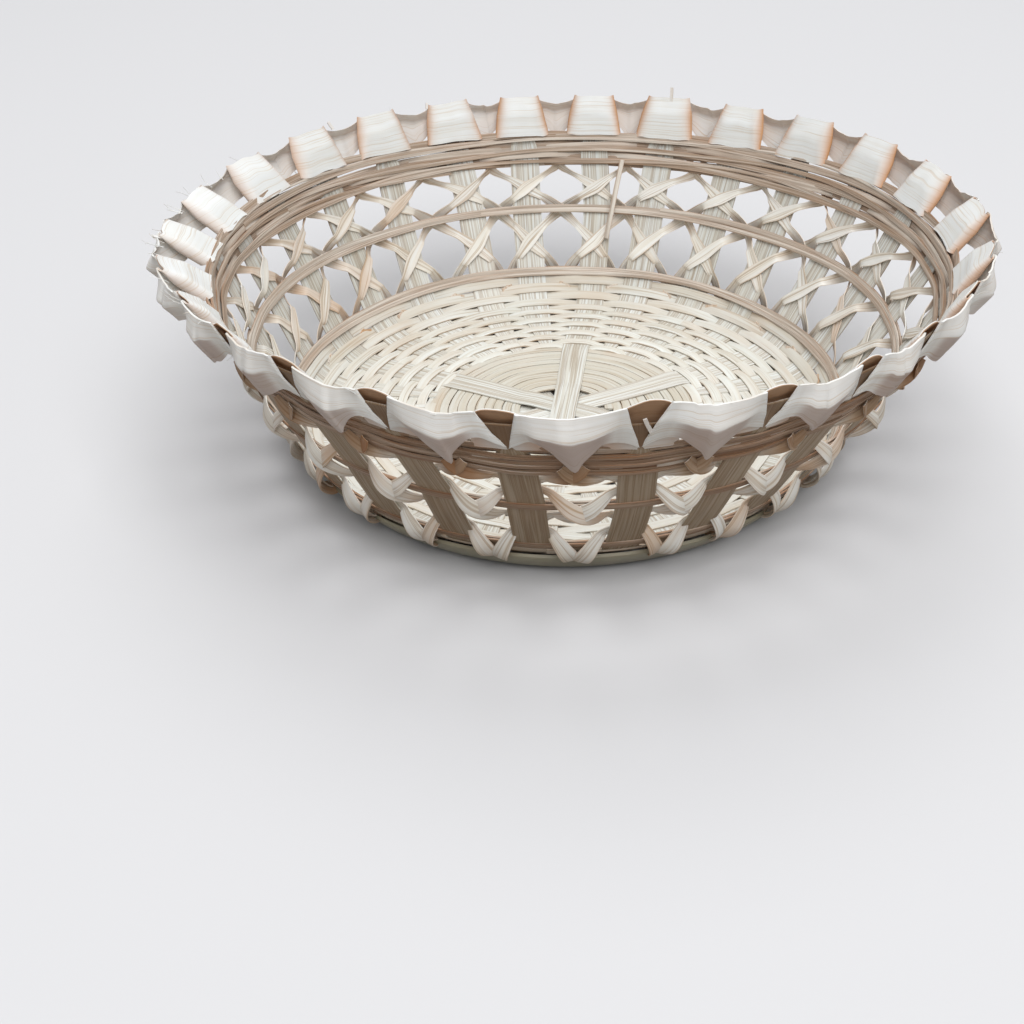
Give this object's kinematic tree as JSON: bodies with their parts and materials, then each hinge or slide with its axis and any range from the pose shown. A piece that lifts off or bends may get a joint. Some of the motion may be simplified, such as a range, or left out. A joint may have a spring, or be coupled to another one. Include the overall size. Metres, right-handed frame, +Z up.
{
  "type": "splint bowl basket",
  "caption": "Shallow round bowl basket with a woven floor, open laced wall, woven band and a folded ribbon rim, standing on a smooth foot band.",
  "frame": {"origin": "on the table, under the middle of the base", "axes": "+Z up, out of the open top; +X out along the first stake"},
  "size_m": [0.2238, 0.2254, 0.0681],
  "materials": {
    "stake_splint": "pale split splint with grain along its length",
    "weaving_strand": "pale narrow strand, matt",
    "hoop_strand": "narrow strand with brown edges, matt",
    "lacing_splint": "pale striped splint, slightly satin",
    "border_splint": "wide pale ribbon with brown folds",
    "foot_skin": "smooth grey-green outer skin, satin"
  },
  "bodies": {
    "root": {"through_splint_upper_1": "stake_splint", "through_splint_upper_2": "stake_splint", "through_splint_upper_3": "stake_splint", "through_splint_lower_1": "stake_splint", "through_splint_lower_2": "stake_splint", "through_splint_lower_3": "stake_splint", "stake_01": "stake_splint", "stake_02": "stake_splint", "stake_03": "stake_splint", "stake_04": "stake_splint", "stake_05": "stake_splint", "stake_06": "stake_splint", "stake_07": "stake_splint", "stake_08": "stake_splint", "stake_09": "stake_splint", "stake_10": "stake_splint", "stake_11": "stake_splint", "stake_12": "stake_splint", "stake_13": "stake_splint", "stake_14": "stake_splint", "base_weaver_inner": "weaving_strand", "base_weaver_floor": "weaving_strand", "base_weaver_corner": "weaving_strand", "lower_hoop_inner": "hoop_strand", "lower_hoop_outer": "hoop_strand", "middle_hoop_inner": "hoop_strand", "middle_hoop_outer": "hoop_strand", "upper_band_row_1": "hoop_strand", "upper_band_row_2": "hoop_strand", "upper_band_row_3": "hoop_strand", "lacing_strip_01": "lacing_splint", "lacing_strip_02": "lacing_splint", "lacing_strip_03": "lacing_splint", "lacing_strip_04": "lacing_splint", "lacing_strip_05": "lacing_splint", "lacing_strip_06": "lacing_splint", "lacing_strip_07": "lacing_splint", "lacing_strip_08": "lacing_splint", "lacing_strip_09": "lacing_splint", "lacing_strip_10": "lacing_splint", "lacing_strip_11": "lacing_splint", "lacing_strip_12": "lacing_splint", "lacing_strip_13": "lacing_splint", "lacing_strip_14": "lacing_splint", "lacing_strip_15": "lacing_splint", "lacing_strip_16": "lacing_splint", "lacing_strip_17": "lacing_splint", "lacing_strip_18": "lacing_splint", "lacing_strip_19": "lacing_splint", "lacing_strip_20": "lacing_splint", "lacing_strip_21": "lacing_splint", "lacing_strip_22": "lacing_splint", "lacing_strip_23": "lacing_splint", "lacing_strip_24": "lacing_splint", "lacing_strip_25": "lacing_splint", "lacing_strip_26": "lacing_splint", "border_ribbon": "border_splint", "foot_band": "foot_skin"}
  },
  "joints": []
}
